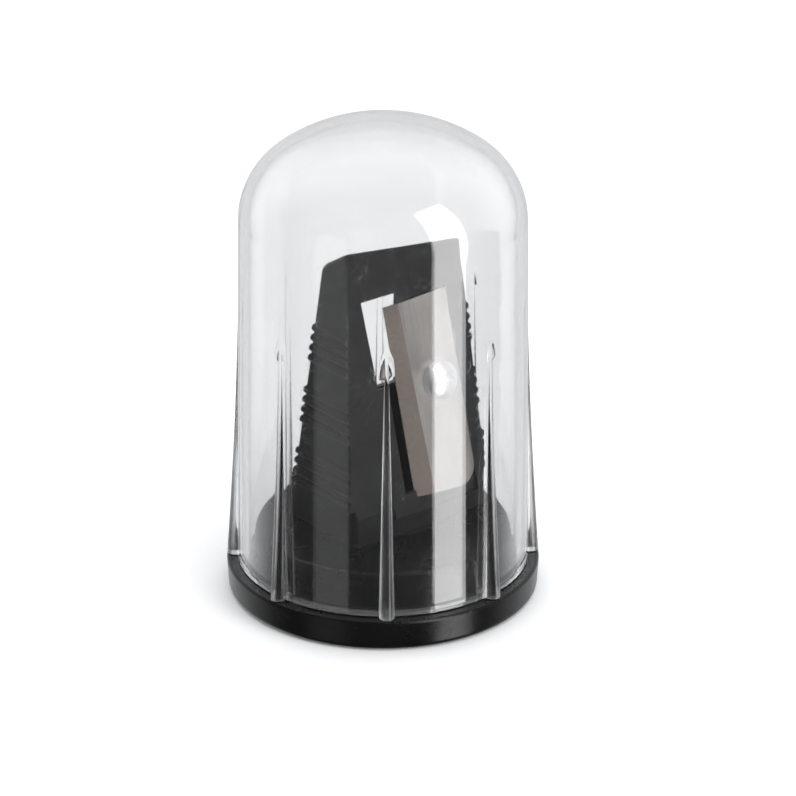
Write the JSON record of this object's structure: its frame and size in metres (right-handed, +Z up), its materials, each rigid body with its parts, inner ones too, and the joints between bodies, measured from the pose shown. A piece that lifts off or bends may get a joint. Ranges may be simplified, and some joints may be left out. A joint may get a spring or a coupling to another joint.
{
  "type": "pencil sharpener",
  "caption": "Upright pencil sharpener on a round base, with a clear ribbed dome over the blade body that catches the shavings.",
  "frame": {"origin": "on the table, under the middle of the round base", "axes": "+Z up along the dome's axis; the blade faces -Y and +X, turned 39 degrees from -Y towards +X"},
  "size_m": [0.038, 0.038, 0.0593],
  "materials": {
    "black_base": "glossy moulded black plastic",
    "black_body": "satin moulded black plastic",
    "blade_steel": "ground tool steel",
    "screw_metal": "bright plated",
    "clear_plastic": "clear moulded plastic"
  },
  "bodies": {
    "sharpener": {"base": "black_base", "sharpener_body": "black_body", "blade": "blade_steel", "blade_screw": "screw_metal"},
    "cover": {"dome_cover": "clear_plastic"}
  },
  "joints": [
    {"name": "dome_lift", "type": "slide", "parent": "sharpener", "child": "cover", "axis": [0, 0, 1], "range_m": [0, 0.05]}
  ]
}
